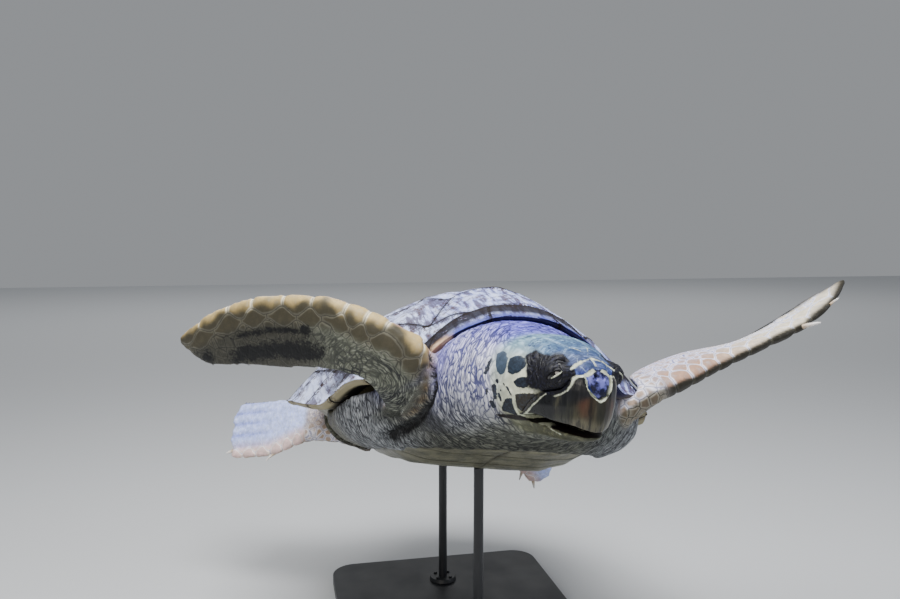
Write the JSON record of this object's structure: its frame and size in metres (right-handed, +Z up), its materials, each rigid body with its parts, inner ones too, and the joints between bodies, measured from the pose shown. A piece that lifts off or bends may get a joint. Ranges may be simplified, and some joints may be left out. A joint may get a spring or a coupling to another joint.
{
  "type": "loggerhead sea turtle model",
  "caption": "Life-size loggerhead sea turtle swimming in a banked turn, fore flippers spread, held by two rods on a flat base.",
  "frame": {"origin": "middle of the underside of the stand's base", "axes": "+Z up, the turtle swims towards -Y and its left side is +X"},
  "size_m": [1.0338, 0.9082, 0.6307],
  "materials": {
    "shell": "satin keratin scutes",
    "belly_plate": "satin keratin scutes",
    "skin": "wet wrinkled scaly skin",
    "horn": "polished streaked horn",
    "eye": "wet gloss",
    "claw": "polished horn",
    "stand": "satin black"
  },
  "bodies": {
    "root": {"carapace": "shell", "plastron": "belly_plate", "torso": "skin", "neck": "skin", "head": "skin", "lower_jaw": "skin", "upper_beak": "horn", "eye_left": "eye", "eye_right": "eye", "tail": "skin", "upper_arm_left": "skin", "fore_flipper_left": "skin", "thigh_left": "skin", "hind_flipper_left": "skin", "claw_fore_left_1": "claw", "claw_fore_left_2": "claw", "claw_hind_left_1": "claw", "claw_hind_left_2": "claw", "upper_arm_right": "skin", "fore_flipper_right": "skin", "thigh_right": "skin", "hind_flipper_right": "skin", "claw_fore_right_1": "claw", "claw_fore_right_2": "claw", "claw_hind_right_1": "claw", "claw_hind_right_2": "claw", "stand_base": "stand", "stand_rod_front": "stand", "stand_rod_back": "stand"}
  },
  "joints": []
}
